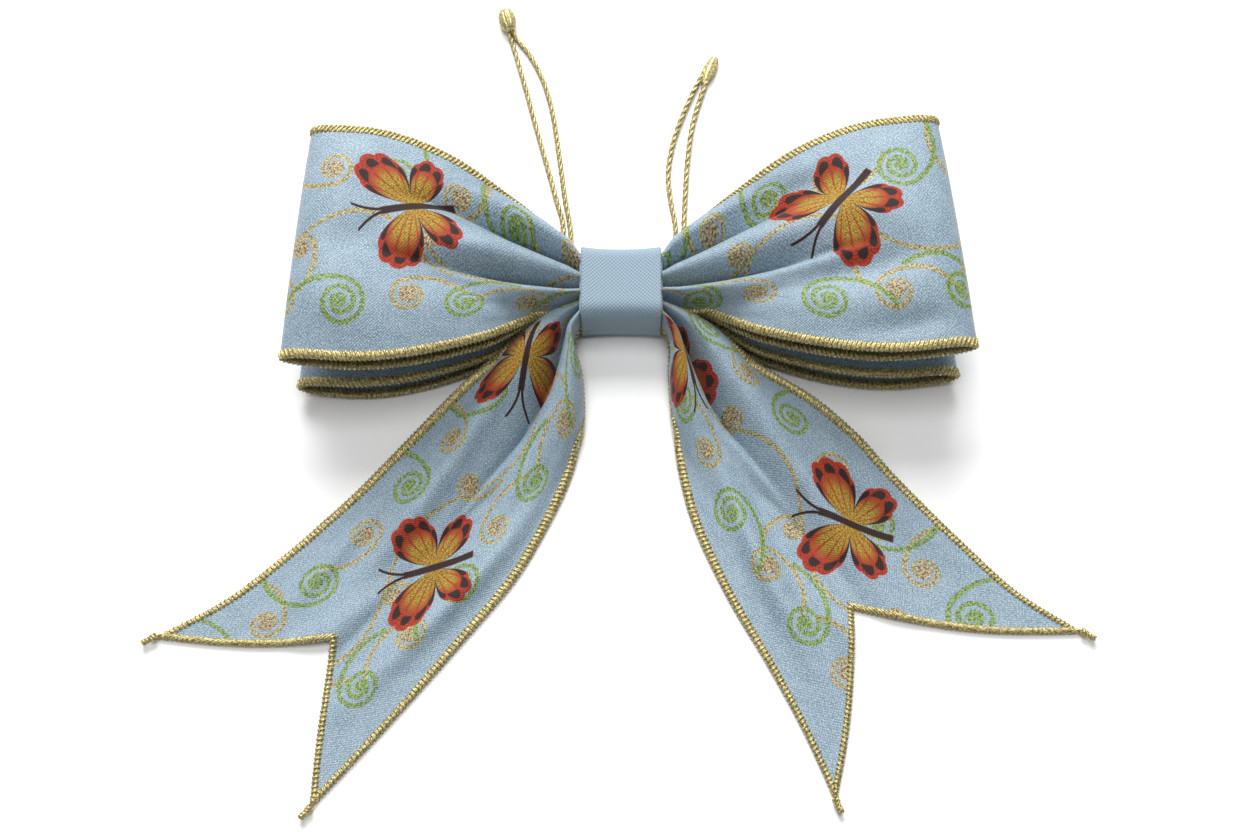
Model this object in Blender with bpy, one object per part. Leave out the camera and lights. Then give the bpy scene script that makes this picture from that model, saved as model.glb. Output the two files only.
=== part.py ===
"""Pre-made gift bow with four loops, two swallow-tail ends and a tie cord.

The bow lies on its back on the XY plane, as it does before it is tied on.
+Z comes out of the front of the bow, +Y runs up towards the tie cord and the
tails run down towards -Y. The origin is the middle of the flat back face of
the knot band. Lengths below are in millimetres until scaled by MM.
"""
import math

import bmesh
import bpy
from mathutils import Vector

MM = 0.001

# ---------------------------------------------------------------- dimensions
RIBBON_THICKNESS = 1.0        # ribbon with its stiffened edge
EDGING_WIDTH = 2.2            # stitched gold edge
SEAM_GAP = 0.3                # clearance between neighbouring pieces

LOOP_HALF_WIDTH = 32.6        # open loop, half of its full height
LOOP_WAIST_HALF_WIDTH = 9.0   # where the loop is gathered at the band
LOOP_GATHER_START = 10.0
LOOP_GATHER_LENGTH = 62.0
LOOP_GATHER_THICKNESS = 0.9   # extra thickness of the folds at the band
LOOP_ROWS = 30

TAIL_ROWS = 22

BAND_HALF_LENGTH = 10.5       # along X
BAND_HALF_HEIGHT = 10.1       # along Y, at the ends of the band
BAND_DEPTH = 18.0             # along Z
BAND_WALL = 0.9
BAND_NIP = 0.5                # how much the middle of the band is drawn in
BAND_CORNER = 3.4

BINDING_WALL = 0.9
CORD_DIAMETER = 1.5
CORD_REST_HEIGHT = 0.8        # centre of the cord above the surface

# Pivots, where each side can be bent at the mouth of the band
LOOP_PIVOT_X = 11.0
FRONT_PIVOT_Z = 12.8
CORD_PIVOT = (11.3, 6.1)
TAIL_PIVOT_Y = -4.0

# Side profiles of the loops, from the band round the outer fold and back:
# (distance along the loop, height)
FRONT_PROFILE = [(13.4, 14.5), (22, 18.3), (34, 23.4), (50, 28.4), (67, 30.8),
                 (79, 30.4), (84.6, 26.6), (79, 22.9), (65, 21.9), (50, 20.0),
                 (34, 16.6), (22, 13.6), (13.4, 11.6)]
REAR_PROFILE = [(12.5, 6.9), (22, 7.0), (34, 7.6), (50, 9.4), (66, 10.2),
                (78, 9.0), (82.4, 5.4), (78, 1.9), (66, 0.55), (50, 0.55),
                (36, 1.9), (24, 3.5), (12.5, 4.4)]

SIDES = {"left": -1.0, "right": 1.0}
LOOP_TILT = {"left": 4.7, "right": 6.6}        # degrees, towards +Y
LOOP_REACH = {"left": 0.99, "right": 1.03}     # length against the profile

# Cross ribs of each tail, from the band to the tips: (outer edge, inner edge)
TAIL_RIBS = {
    "left": [((-12.4, 0.8, 9.3), (-12.7, -8.6, 9.3)),
             ((-20.5, -7.0, 9.7), (-12.5, -14.0, 8.4)),
             ((-31.5, -17.0, 10.0), (-10.4, -22.0, 6.2)),
             ((-42.5, -27.5, 9.0), (-10.0, -34.0, 3.2)),
             ((-56.0, -40.5, 4.4), (-12.5, -47.0, 1.0)),
             ((-68.0, -52.5, 1.4), (-17.8, -60.0, 0.55)),
             ((-77.0, -61.0, 0.55), (-27.0, -76.5, 0.55)),
             ((-86.0, -69.5, 0.55), (-41.5, -94.5, 0.55)),
             ((-100.5, -81.5, 0.55), (-58.0, -114.0, 0.55)),
             ((-118.0, -91.5, 0.55), (-76.8, -135.0, 0.55))],
    "right": [((12.4, 0.8, 9.3), (12.7, -8.6, 9.3)),
              ((22.5, -8.5, 9.7), (13.0, -14.0, 8.4)),
              ((36.0, -20.6, 9.8), (12.8, -22.0, 6.2)),
              ((50.0, -29.4, 8.4), (13.6, -33.0, 3.2)),
              ((61.5, -38.5, 4.8), (14.8, -46.0, 1.0)),
              ((70.0, -47.5, 1.8), (18.8, -62.0, 0.55)),
              ((77.6, -55.5, 0.55), (27.0, -80.5, 0.55)),
              ((86.0, -64.5, 0.55), (36.8, -98.0, 0.55)),
              ((101.0, -79.4, 0.55), (45.5, -115.0, 0.55)),
              ((117.1, -90.2, 0.55), (53.2, -133.0, 0.55))],
}
NOTCH_SHARE = {"left": 0.78, "right": 0.72}    # apex, as a share of the tail
NOTCH_ACROSS = {"left": 0.0, "right": 0.12}    # -1 outer edge, +1 inner edge
NOTCH_HALF_ANGLE = 34.0                        # degrees

# Tie cord: one doubled cord that lies behind the ribbons inside the band.
# Each strand leaves the mouth of the band and runs on the surface: (x, y, z)
CORD_ROUTES = {
    "left_cord_right_strand": [
        (-11.7, 6.9, 2.1), (-12.8, 8.8, 1.9), (-13.3, 12, 1.3),
        (-13.4, 17, CORD_REST_HEIGHT), (-13.8, 23, CORD_REST_HEIGHT),
        (-15.2, 31, CORD_REST_HEIGHT), (-16.8, 43, CORD_REST_HEIGHT),
        (-18.7, 56, CORD_REST_HEIGHT), (-21.3, 66, CORD_REST_HEIGHT),
        (-25.0, 74, CORD_REST_HEIGHT), (-29.0, 79.6, CORD_REST_HEIGHT)],
    "left_cord_left_strand": [
        (-11.7, 5.0, 2.1), (-14.5, 6.9, 1.9), (-15.5, 12, 1.3),
        (-15.5, 18, CORD_REST_HEIGHT), (-15.8, 24, CORD_REST_HEIGHT),
        (-17.4, 30, CORD_REST_HEIGHT), (-20.0, 40, CORD_REST_HEIGHT),
        (-23.2, 52, CORD_REST_HEIGHT), (-26.8, 66, CORD_REST_HEIGHT),
        (-30.7, 80.0, CORD_REST_HEIGHT)],
    "right_cord_left_strand": [
        (11.7, 6.9, 2.1), (13.1, 8.5, 1.9), (14.0, 12, 1.3),
        (14.6, 17, CORD_REST_HEIGHT), (14.6, 23, CORD_REST_HEIGHT),
        (13.4, 30, CORD_REST_HEIGHT), (12.8, 38, CORD_REST_HEIGHT),
        (14.1, 47, CORD_REST_HEIGHT), (17.0, 56, CORD_REST_HEIGHT),
        (20.8, 65, CORD_REST_HEIGHT)],
    "right_cord_right_strand": [
        (11.7, 5.0, 2.1), (14.6, 6.6, 1.9), (16.2, 11, 1.3),
        (16.9, 17, CORD_REST_HEIGHT), (17.0, 24, CORD_REST_HEIGHT),
        (17.4, 32, CORD_REST_HEIGHT), (18.1, 42, CORD_REST_HEIGHT),
        (19.6, 53, CORD_REST_HEIGHT), (22.8, 64.2, CORD_REST_HEIGHT)],
}
CORD_POINTS = 18

# ------------------------------------------------------------------ materials
FABRIC_BLUE = ((0.33, 0.47, 0.58), 0.55, 0.0)
BAND_BLUE = ((0.36, 0.49, 0.60), 0.65, 0.0)
EDGING_GOLD = ((0.62, 0.47, 0.16), 0.40, 0.5)
CORD_GOLD = ((0.60, 0.52, 0.30), 0.35, 0.6)
THREAD_WHITE = ((0.80, 0.78, 0.72), 0.70, 0.0)
GLUE_CLEAR = ((0.75, 0.72, 0.62), 0.30, 0.0)


def clear_scene():
    for old in list(bpy.data.objects):
        bpy.data.objects.remove(old, do_unlink=True)


def make_material(name, look):
    colour, roughness, metallic = look
    material = bpy.data.materials.new(name)
    material.use_nodes = True
    shader = material.node_tree.nodes["Principled BSDF"]
    shader.inputs["Base Color"].default_value = (*colour, 1.0)
    shader.inputs["Roughness"].default_value = roughness
    shader.inputs["Metallic"].default_value = metallic
    return material


def blend(a, b, t):
    return a + (b - a) * t


# ----------------------------------------------------------------- geometry
def smooth_path(points, count):
    """Evenly spaced points on a Catmull-Rom curve through the given points."""
    points = [Vector(p) for p in points]
    ends = [points[0] * 2 - points[1]] + points + [points[-1] * 2 - points[-2]]
    fine = []
    steps = 24
    for i in range(1, len(ends) - 2):
        a, b, c, d = ends[i - 1:i + 3]
        for k in range(steps):
            t = k / steps
            fine.append(0.5 * ((2 * b) + (c - a) * t + (2 * a - 5 * b + 4 * c - d) * t * t
                               + (3 * b - a - 3 * c + d) * t ** 3))
    fine.append(points[-1])
    lengths = [0.0]
    for p, q in zip(fine, fine[1:]):
        lengths.append(lengths[-1] + (q - p).length)
    path = []
    place = 0
    for k in range(count):
        goal = lengths[-1] * k / (count - 1)
        while place < len(fine) - 2 and lengths[place + 1] < goal:
            place += 1
        span = lengths[place + 1] - lengths[place]
        path.append(fine[place].lerp(fine[place + 1], (goal - lengths[place]) / span))
    return path


def add_object(name, mesh, material, origin, smooth):
    """Link a mesh given in millimetres, with its object origin at a pivot."""
    pivot = Vector(origin) * MM
    for vertex in mesh.vertices:
        vertex.co = vertex.co * MM - pivot
    thing = bpy.data.objects.new(name, mesh)
    thing.location = pivot
    mesh.materials.append(material)
    if smooth:
        mesh.shade_smooth()
        mesh.set_sharp_from_angle(angle=math.radians(40))
    bpy.context.scene.collection.objects.link(thing)
    return thing


def mesh_from_faces(name, points, faces):
    work = bmesh.new()
    corners = [work.verts.new(p) for p in points]
    for face in faces:
        work.faces.new([corners[i] for i in face])
    bmesh.ops.triangulate(work, faces=work.faces[:])
    bmesh.ops.recalc_face_normals(work, faces=work.faces[:])
    mesh = bpy.data.meshes.new(name)
    work.to_mesh(mesh)
    work.free()
    return mesh


def slab(name, rows, thickness, material, origin):
    """A closed sheet: rows of centre points, thickened along their normals."""
    last_row = len(rows) - 1
    last_column = len(rows[0]) - 1
    upper, lower = [], []
    for i, row in enumerate(rows):
        before = rows[max(i - 1, 0)]
        after = rows[min(i + 1, last_row)]
        for j, point in enumerate(row):
            across = row[min(j + 1, last_column)] - row[max(j - 1, 0)]
            normal = (after[j] - before[j]).cross(across).normalized()
            upper.append(point + normal * thickness[i] / 2)
            lower.append(point - normal * thickness[i] / 2)
    width = last_column + 1
    half = len(upper)
    faces = []
    for i in range(last_row):
        for j in range(last_column):
            quad = [i * width + j, i * width + j + 1, (i + 1) * width + j + 1, (i + 1) * width + j]
            faces.append(quad)
            faces.append([half + k for k in reversed(quad)])
    rim = [j for j in range(width)]
    rim += [i * width + last_column for i in range(1, last_row + 1)]
    rim += [last_row * width + j for j in range(last_column - 1, -1, -1)]
    rim += [i * width for i in range(last_row - 1, 0, -1)]
    for a, b in zip(rim, rim[1:] + rim[:1]):
        faces.append([a, half + a, half + b, b])
    mesh = mesh_from_faces(name, upper + lower, faces)
    return add_object(name, mesh, material, origin, smooth=True)


def loft(name, sections, material, origin=(0, 0, 0), closed=False):
    """Skin a row of closed outlines; capped at the ends, or joined as a ring."""
    count = len(sections[0])
    points = [p for section in sections for p in section]
    faces = []
    spans = len(sections) if closed else len(sections) - 1
    for i in range(spans):
        a = i * count
        b = (i + 1) % len(sections) * count
        for j in range(count):
            k = (j + 1) % count
            faces.append([a + j, a + k, b + k, b + j])
    if not closed:
        faces.append(list(range(count)))
        faces.append(list(range(len(points) - count, len(points))))
    mesh = mesh_from_faces(name, points, faces)
    return add_object(name, mesh, material, origin, smooth=True)


def rounded_outline(x, half_y, low_z, high_z, radius, corner_steps):
    """A rounded rectangle in the YZ plane at x."""
    outline = []
    corners = [(half_y - radius, low_z + radius, -90), (half_y - radius, high_z - radius, 0),
               (-half_y + radius, high_z - radius, 90), (-half_y + radius, low_z + radius, 180)]
    for y, z, start in corners:
        for k in range(corner_steps + 1):
            angle = math.radians(start + 90 * k / corner_steps)
            outline.append(Vector((x, y + radius * math.cos(angle), z + radius * math.sin(angle))))
    return outline


# ------------------------------------------------------------------ the loops
def loop_openness(distance):
    """0 where the loop is gathered at the band, 1 where it lies open."""
    share = (distance - LOOP_GATHER_START) / LOOP_GATHER_LENGTH
    return math.sin(math.pi / 2 * min(max(share, 0.0), 1.0)) ** 1.1


def loop_half_width(distance):
    return blend(LOOP_WAIST_HALF_WIDTH, LOOP_HALF_WIDTH, loop_openness(distance))


def loop_point(side, distance, across, height):
    tilt = math.radians(LOOP_TILT[side])
    reach = distance * LOOP_REACH[side]
    x = reach * math.cos(tilt) - across * math.sin(tilt)
    y = reach * math.sin(tilt) + across * math.cos(tilt)
    return Vector((SIDES[side] * x, y, height))


def build_loop(layer, side, profile, pivot, fabric, gold):
    path = smooth_path([(d, 0, z) for d, z in profile], LOOP_ROWS)
    extra = [LOOP_GATHER_THICKNESS * (1 - loop_openness(p.x)) ** 2 for p in path]
    thickness = [RIBBON_THICKNESS + e for e in extra]
    name = layer + "_" + side + "_loop"
    rows = []
    for p in path:
        half = loop_half_width(p.x) - EDGING_WIDTH - SEAM_GAP
        rows.append([loop_point(side, p.x, -half, p.z), loop_point(side, p.x, half, p.z)])
    slab(name, rows, thickness, fabric, pivot)
    for edge, sign in (("top", 1), ("bottom", -1)):
        rows = []
        for p in path:
            half = loop_half_width(p.x)
            rows.append([loop_point(side, p.x, sign * half, p.z),
                         loop_point(side, p.x, sign * (half - EDGING_WIDTH), p.z)])
        slab(name + "_" + edge + "_edging", rows, thickness, gold, pivot)


# ------------------------------------------------------------------ the tails
def tail_frame(side):
    """Evenly spaced pairs of outer and inner edge points down the tail."""
    outer = [rib[0] for rib in TAIL_RIBS[side]]
    inner = [rib[1] for rib in TAIL_RIBS[side]]
    return smooth_path(outer, 97), smooth_path(inner, 97)


def tail_point(frame, share, across):
    """share runs 0 to 1 down the tail; across is -1 outer to +1 inner."""
    outer, inner = frame
    place = min(max(share, 0.0), 1.0) * (len(outer) - 1)
    i = min(int(place), len(outer) - 2)
    a = outer[i].lerp(outer[i + 1], place - i)
    b = inner[i].lerp(inner[i + 1], place - i)
    return a.lerp(b, (across + 1) / 2)


def edge_share(frame, share):
    """Width of the edging as a share of the half width, at one place."""
    width = (tail_point(frame, share, 1) - tail_point(frame, share, -1)).length
    return 2 * EDGING_WIDTH / width


def notch_share(side, across):
    apex = NOTCH_ACROSS[side]
    reach = 1 - apex if across > apex else 1 + apex
    return blend(NOTCH_SHARE[side], 1.0, abs(across - apex) / reach)


def tail_length(frame):
    middle = [tail_point(frame, k / 40, 0) for k in range(41)]
    return sum((q - p).length for p, q in zip(middle, middle[1:]))


def build_tail(side, fabric, gold):
    frame = tail_frame(side)
    pivot = (SIDES[side] * LOOP_PIVOT_X, TAIL_PIVOT_Y, 0)
    name = side + "_tail"
    sharp = math.sin(math.radians(NOTCH_HALF_ANGLE))
    inset = EDGING_WIDTH / sharp / tail_length(frame)
    gap = SEAM_GAP / sharp / tail_length(frame)
    gap_across = 2 * SEAM_GAP / EDGING_WIDTH

    apex = NOTCH_ACROSS[side]
    near_tips = 0.94
    inner_limit = 1 - edge_share(frame, near_tips) * (1 + gap_across / 2)
    rows = []
    for k in range(TAIL_ROWS + 1):
        row = []
        for across in (-inner_limit, -0.5, apex, 0.5, inner_limit):
            share = (notch_share(side, across) - inset - gap) * k / TAIL_ROWS
            limit = 1 - edge_share(frame, share) * (1 + gap_across / 2)
            row.append(tail_point(frame, share, across * min(limit / inner_limit, 1.0)))
        rows.append(row)
    slab(name, rows, [RIBBON_THICKNESS] * len(rows), fabric, pivot)

    for edge, sign in (("outer", -1), ("inner", 1)):
        rows = []
        for k in range(TAIL_ROWS + 1):
            share = k / TAIL_ROWS
            within = 1 - edge_share(frame, share)
            end = notch_share(side, within) - gap
            rows.append([tail_point(frame, share, sign),
                         tail_point(frame, min(share, end), sign * within)])
        rows[-1][1] = rows[-1][1].lerp(rows[-1][0], 0.02)
        slab(name + "_" + edge + "_edging", rows, [RIBBON_THICKNESS] * len(rows), gold, pivot)

    within = 1 - edge_share(frame, near_tips) * (1 + gap_across)
    rows = []
    for k in range(-6, 7):
        across = apex + (within - apex if k > 0 else within + apex) * k / 6
        end = notch_share(side, across)
        rows.append([tail_point(frame, end, across), tail_point(frame, end - inset, across)])
    slab(name + "_notch_edging", rows, [RIBBON_THICKNESS] * len(rows), gold, pivot)

    for edge, sign in (("outer", -1), ("inner", 1)):
        tip = tail_point(frame, 1, sign)
        along = (tip - tail_point(frame, 0.9, sign)).normalized()
        centre = tip + along * 2.2
        centre.z = 0.75
        bead(name + "_" + edge + "_tip_thread", centre, along, 1.7, 1.15, 0.7, gold, pivot)


def bead(name, centre, along, half_length, half_width, half_height, material, pivot):
    """A small rounded end, longest along the given direction."""
    along = along.normalized()
    across = Vector((0, 0, 1)).cross(along).normalized()
    up = along.cross(across)
    sections = []
    for k in range(1, 6):
        angle = math.pi * k / 6
        middle = centre - along * half_length * math.cos(angle)
        size = math.sin(angle)
        sections.append([middle + across * half_width * size * math.cos(turn)
                         + up * half_height * size * math.sin(turn)
                         for turn in [math.tau * j / 8 for j in range(8)]])
    return loft(name, sections, material, pivot)


# ------------------------------------------------------- the knot in the middle
def band_half_height(x):
    return BAND_HALF_HEIGHT - BAND_NIP * (1 - (x / BAND_HALF_LENGTH) ** 2)


def build_band(cloth):
    stations = [BAND_HALF_LENGTH * k / 3 for k in range(-3, 4)]
    outside = []
    inside = []
    for x in stations:
        half = band_half_height(x)
        top = BAND_DEPTH - BAND_NIP * (1 - (x / BAND_HALF_LENGTH) ** 2)
        outside.append(rounded_outline(x, half, 0, top, BAND_CORNER, 5))
        inside.append(rounded_outline(x, half - BAND_WALL, BAND_WALL, top - BAND_WALL,
                                      BAND_CORNER - BAND_WALL, 5))
    loft("knot_band", outside + inside[::-1], cloth, closed=True)


def build_waist(name, low, high, half_middle, half_end, fabric):
    """The gathered middle of a ribbon where the binding squeezes it."""
    sections = []
    for k in range(-4, 5):
        share = abs(k) / 4
        half = blend(half_middle, half_end, share ** 1.5)
        sections.append(rounded_outline(10.8 * k / 4, half, low, high, 0.6, 2))
    loft(name, sections, fabric)


def build_binding(thread):
    """Three tight turns of thread around the gathered ribbons."""
    low, high, half = 3.8, 15.4, 7.45
    sections = []
    turns = 3
    lobes = [(-1.5, 0.55), (-1.0, 1.0), (-0.5, 0.55), (0.0, 1.0), (0.5, 0.55), (1.0, 1.0),
             (1.5, 0.55), (1.5, 0.0), (0.0, 0.0), (-1.5, 0.0)]
    profile = [(x * turns / 3, rise * BINDING_WALL) for x, rise in lobes]
    for x, rise in profile:
        sections.append(rounded_outline(x, half + rise, low - rise, high + rise, 0.8 + rise, 3))
    loft("binding_thread", sections, thread, closed=True)


def build_glue_pad(glue):
    sections = []
    for k in range(-3, 4):
        size = math.sqrt(1 - (k / 3.6) ** 2)
        sections.append(rounded_outline(1.7 * k, -1, 1.2, 2.6, 0.3, 1))
        for point in sections[-1]:
            point.y = -1.2 + (4.6 * size if point.y > 0 else -4.6 * size)
    loft("glue_pad", sections, glue)


# --------------------------------------------------------------- the tie cord
def build_tube(name, points, material, origin):
    curve = bpy.data.curves.new(name, "CURVE")
    curve.dimensions = "3D"
    curve.bevel_depth = CORD_DIAMETER / 2 * MM
    curve.bevel_resolution = 2
    curve.use_fill_caps = True
    spline = curve.splines.new("POLY")
    spline.points.add(len(points) - 1)
    pivot = Vector(origin) * MM
    for spot, point in zip(spline.points, points):
        spot.co = (*(Vector(point) * MM - pivot), 1.0)
    curve.materials.append(material)
    tube = bpy.data.objects.new(name, curve)
    tube.location = pivot
    bpy.context.scene.collection.objects.link(tube)


def build_cord(gold):
    for name, route in CORD_ROUTES.items():
        side = name.split("_")[0]
        pivot = (SIDES[side] * CORD_PIVOT[0], CORD_PIVOT[1], 0)
        build_tube(name, smooth_path(route, CORD_POINTS), gold, pivot)
    for name, y in (("rear_cord_upper_strand", 6.9), ("rear_cord_lower_strand", 5.0)):
        build_tube(name, [(x, y, 2.1) for x in (-10.9, -5.4, 0.0, 5.4, 10.9)], gold, (0, 0, 0))
    left_pivot = (-CORD_PIVOT[0], CORD_PIVOT[1], 0)
    right_pivot = (CORD_PIVOT[0], CORD_PIVOT[1], 0)
    bead("cord_end_knot", Vector((-31.6, 84.6, 2.2)), Vector((-0.26, 1, 0)), 3.4, 2.2, 2.1,
         gold, left_pivot)
    bead("cord_fold_tip", Vector((24.4, 69.6, 0.95)), Vector((0.42, 1, 0)), 4.3, 1.8, 0.9,
         gold, right_pivot)


def main():
    clear_scene()
    fabric = make_material("printed_ribbon", FABRIC_BLUE)
    cloth = make_material("plain_band", BAND_BLUE)
    gold = make_material("gold_edging", EDGING_GOLD)
    cord = make_material("gold_cord", CORD_GOLD)
    thread = make_material("binding", THREAD_WHITE)
    glue = make_material("hot_glue", GLUE_CLEAR)

    for side in SIDES:
        front_pivot = (SIDES[side] * LOOP_PIVOT_X, 0, FRONT_PIVOT_Z)
        rear_pivot = (SIDES[side] * LOOP_PIVOT_X, 0, 0)
        build_loop("front", side, FRONT_PROFILE, front_pivot, fabric, gold)
        build_loop("rear", side, REAR_PROFILE, rear_pivot, fabric, gold)
        build_tail(side, fabric, gold)

    build_band(cloth)
    build_waist("front_ribbon_waist", 10.3, 15.1, 7.1, 8.5, fabric)
    build_waist("tail_ribbon_waist", 8.3, 10.0, 7.0, 8.0, fabric)
    build_waist("rear_ribbon_waist", 4.1, 8.0, 7.1, 8.5, fabric)
    build_binding(thread)
    build_glue_pad(glue)
    build_cord(cord)


main()
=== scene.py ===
"""The looks of the pre-made gift bow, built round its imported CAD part.

Lengths are in millimetres until scaled by MM, in the part's own frame: the bow
lies on its back, +Z out of its front, +Y towards the tie cord.
"""

import math
from functools import partialmethod

import bpy
import numpy as np
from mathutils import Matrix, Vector


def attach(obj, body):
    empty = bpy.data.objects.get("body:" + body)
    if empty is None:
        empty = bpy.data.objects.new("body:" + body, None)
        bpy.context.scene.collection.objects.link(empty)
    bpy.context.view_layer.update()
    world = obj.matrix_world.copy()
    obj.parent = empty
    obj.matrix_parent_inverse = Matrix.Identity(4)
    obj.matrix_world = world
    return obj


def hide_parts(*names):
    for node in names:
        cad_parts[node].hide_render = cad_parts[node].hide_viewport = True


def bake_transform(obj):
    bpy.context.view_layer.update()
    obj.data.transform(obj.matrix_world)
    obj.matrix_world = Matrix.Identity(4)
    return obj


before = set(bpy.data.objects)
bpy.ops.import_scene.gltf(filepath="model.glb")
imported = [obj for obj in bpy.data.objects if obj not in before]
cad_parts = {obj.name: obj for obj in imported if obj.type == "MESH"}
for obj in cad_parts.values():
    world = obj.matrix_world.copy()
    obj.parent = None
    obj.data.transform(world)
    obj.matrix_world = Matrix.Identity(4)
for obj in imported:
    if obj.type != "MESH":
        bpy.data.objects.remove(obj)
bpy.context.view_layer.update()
MM = 0.001
SIDES = {"left": -1.0, "right": 1.0}


# --- the ribbon
RIBBON_WIDTH = 63.5  # 2.5 inch ribbon, laid flat
CLOTH_THICKNESS = 0.4
GRID_STEP = 1.1  # spacing of the cloth's grid, along the ribbon
COLUMN_STEP = 0.8  # and across it

# the loops, as in the CAD part
LOOP_HALF_WIDTH = 32.6
LOOP_WAIST_HALF_WIDTH = 9.0
LOOP_GATHER_START = 10.0
LOOP_GATHER_LENGTH = 62.0
LOOP_TILT = {"left": 4.7, "right": 6.6}
LOOP_REACH = {"left": 0.99, "right": 1.03}
FRONT_PROFILE = [(6, 13.9), (13.4, 14.7), (22, 18.3), (34, 23.4), (50, 28.4), (67, 30.8),
                 (79, 30.4), (84.6, 26.6), (79, 22.9), (65, 21.9), (50, 20.0),
                 (34, 16.6), (22, 13.6), (13.4, 11.8), (6, 11.4)]
REAR_PROFILE = [(6, 6.9), (12.5, 6.9), (22, 7.0), (34, 7.6), (50, 9.4), (66, 10.2),
                (78, 9.0), (82.4, 5.4), (78, 1.9), (66, 0.8), (50, 0.8),
                (36, 1.9), (24, 3.5), (12.5, 4.4), (6, 4.6)]

# How a loop is gathered at the band. Down the ribbon's width, from its top edge:
# (place on the flat ribbon, place where gathered, height of the soft fold and
# how far out it reaches, further height of the sharp crease at the band)
LOOP_FOLDS = [
    (0.0, 9.0, -4.5, 46, -1.5), (4.0, 9.4, -2.6, 46, -1.2), (8.0, 8.9, 0.0, 50, 0.0),
    (12.0, 7.0, 1.5, 56, 0.6), (15.0, 4.9, -0.8, 60, -1.2), (16.6, 4.2, -3.0, 64, -3.2),
    (17.8, 3.9, -4.8, 66, -5.8), (19.0, 3.65, -3.0, 64, -3.2), (20.8, 3.1, -0.6, 60, -1.2),
    (26.0, 1.0, 2.0, 60, 0.8), (31.2, -1.2, -0.6, 64, -1.2), (33.2, -1.8, -3.0, 68, -3.2),
    (34.5, -2.1, -5.0, 72, -5.8), (35.8, -2.3, -3.0, 68, -3.2), (37.6, -2.7, -0.4, 60, -1.0),
    (42.5, -3.7, 1.8, 54, 0.8), (46.5, -4.5, 0.6, 46, 0.0), (49.0, -4.9, -1.6, 42, -1.0),
    (51.5, -5.2, -3.2, 38, -1.6), (54.5, -5.4, -4.2, 36, -1.4), (57.5, -5.5, -4.8, 36, -1.0),
    (60.5, -5.5, -5.2, 35, -0.8), (63.5, -5.3, -5.4, 34, -0.8)]
# Distances from the bow's middle: the gathers, creases and folds are whole up to
# these, and the creases end at the last one
LOOP_HOLD_START = 14
LOOP_CREASE_START = 16
LOOP_FOLD_START = 20
LOOP_CREASE_REACH = 36.0
LOOP_TURN_SHARE = 0.08  # of the layer's rows, either side of its far end
BAND_MOUTH = (10, 15)  # where a ribbon passes into the band
SQUEEZE_IN_BAND = (0.30, 0.10)  # upper and lower half of the ribbon
FLATTEN_IN_BAND = 0.25
LAYER_DEPTH = {"front": 1.0, "rear": 0.30}  # depth of the folds, outer layer
RETURN_DEPTH = {"front": 0.62, "rear": 0.18}  # and on the way back to the band
LOOP_BULGE = {"front": 5.5, "rear": 1.5}  # how far the outer layer bows across its width
DENT_SHARE = {"front": 1.0, "rear": 0.3}

# Soft dents of the open loops: (distance along the layer, place on the flat
# ribbon, angle, length, width, depth)
LOOP_DENTS = {
    "left": [(29, 18, 4, 10, 3.6, 2.6), (30, 34, -4, 9, 3.2, 2.4), (47, 40, -14, 18, 5.5, 3.2),
             (46, 17, 12, 16, 5.0, 1.8), (66, 30, 25, 12, 5.0, 1.4), (74, 50, -20, 12, 6.0, -1.2),
             (74, 14, 60, 12, 5.0, -1.0), (38, 28, 10, 9, 3.0, -1.2)],
    "right": [(30, 15, 6, 12, 3.8, 3.0), (46, 14, 10, 16, 5.0, 3.2), (34, 34, -2, 12, 3.2, 2.4),
              (56, 42, -8, 18, 5.0, 3.0), (60, 25, 16, 14, 5.0, -1.6), (78, 22, 70, 12, 5.0, 1.0),
              (68, 57, -4, 14, 3.5, 1.4), (42, 26, 4, 12, 3.5, -1.2)],
}

# --- the tails
TAIL_REST_HEIGHT = 0.55
TAIL_RIBS = {
    "left": [((-9.8, -3.2, 9.6), (-10.2, -8.3, 9.2)),
             ((-20.5, -7.0, 9.7), (-12.5, -14.0, 8.4)),
             ((-31.5, -17.0, 10.0), (-10.4, -22.0, 6.2)),
             ((-42.5, -27.5, 9.0), (-10.0, -34.0, 3.2)),
             ((-56.0, -40.5, 4.4), (-12.5, -47.0, 1.0)),
             ((-68.0, -52.5, 1.4), (-17.8, -60.0)),
             ((-77.0, -61.0), (-27.0, -76.5)),
             ((-86.0, -69.5), (-41.5, -94.5)),
             ((-100.5, -81.5), (-58.0, -114.0)),
             ((-118.0, -91.5), (-76.8, -135.0))],
    "right": [((9.8, -3.2, 9.6), (10.2, -8.3, 9.2)),
              ((22.5, -8.5, 9.7), (13.0, -14.0, 8.4)),
              ((36.0, -20.6, 9.8), (12.8, -22.0, 6.2)),
              ((50.0, -29.4, 8.4), (13.6, -33.0, 3.2)),
              ((61.5, -38.5, 4.8), (14.8, -46.0, 1.0)),
              ((70.0, -47.5, 1.8), (18.8, -62.0)),
              ((77.6, -55.5), (27.0, -80.5)),
              ((86.0, -64.5), (36.8, -98.0)),
              ((101.0, -79.4), (45.5, -115.0)),
              ((117.1, -90.2), (53.2, -133.0))],
}
TAIL_START = -3.5  # how far the tail reaches back into the band
NOTCH_SHARE = {"left": 0.78, "right": 0.72}
NOTCH_ACROSS = {"left": 0.0, "right": 0.12}

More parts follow.
